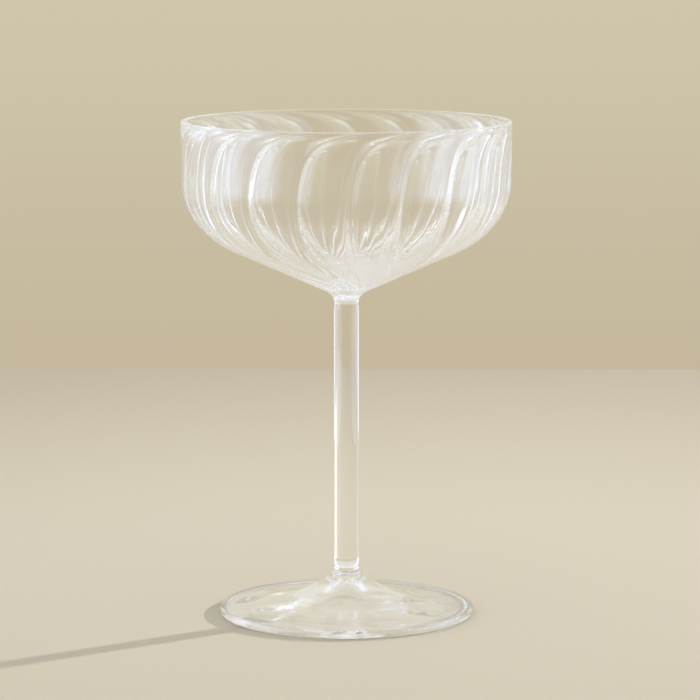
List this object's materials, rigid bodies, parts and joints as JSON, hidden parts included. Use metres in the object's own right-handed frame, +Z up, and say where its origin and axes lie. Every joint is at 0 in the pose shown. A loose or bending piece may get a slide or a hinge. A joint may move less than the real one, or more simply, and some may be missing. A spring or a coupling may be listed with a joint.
{
  "type": "coupe glass",
  "caption": "Stemmed drinking glass with a wide bowl with twisted optic ribs, a rounded lip, a straight solid stem and a low domed foot with a rolled rim.",
  "frame": {"origin": "centre of the ring that the foot stands on, at the level of the table", "axes": "+Z up along the stem's axis, +X to the right and -Y towards the viewer of the picture"},
  "size_m": [0.106, 0.106, 0.16],
  "materials": {
    "clear_glass": "fire-polished gloss"
  },
  "bodies": {
    "root": {"bowl": "clear_glass", "bowl_collar": "clear_glass", "stem": "clear_glass", "foot_collar": "clear_glass", "foot": "clear_glass"}
  },
  "joints": []
}
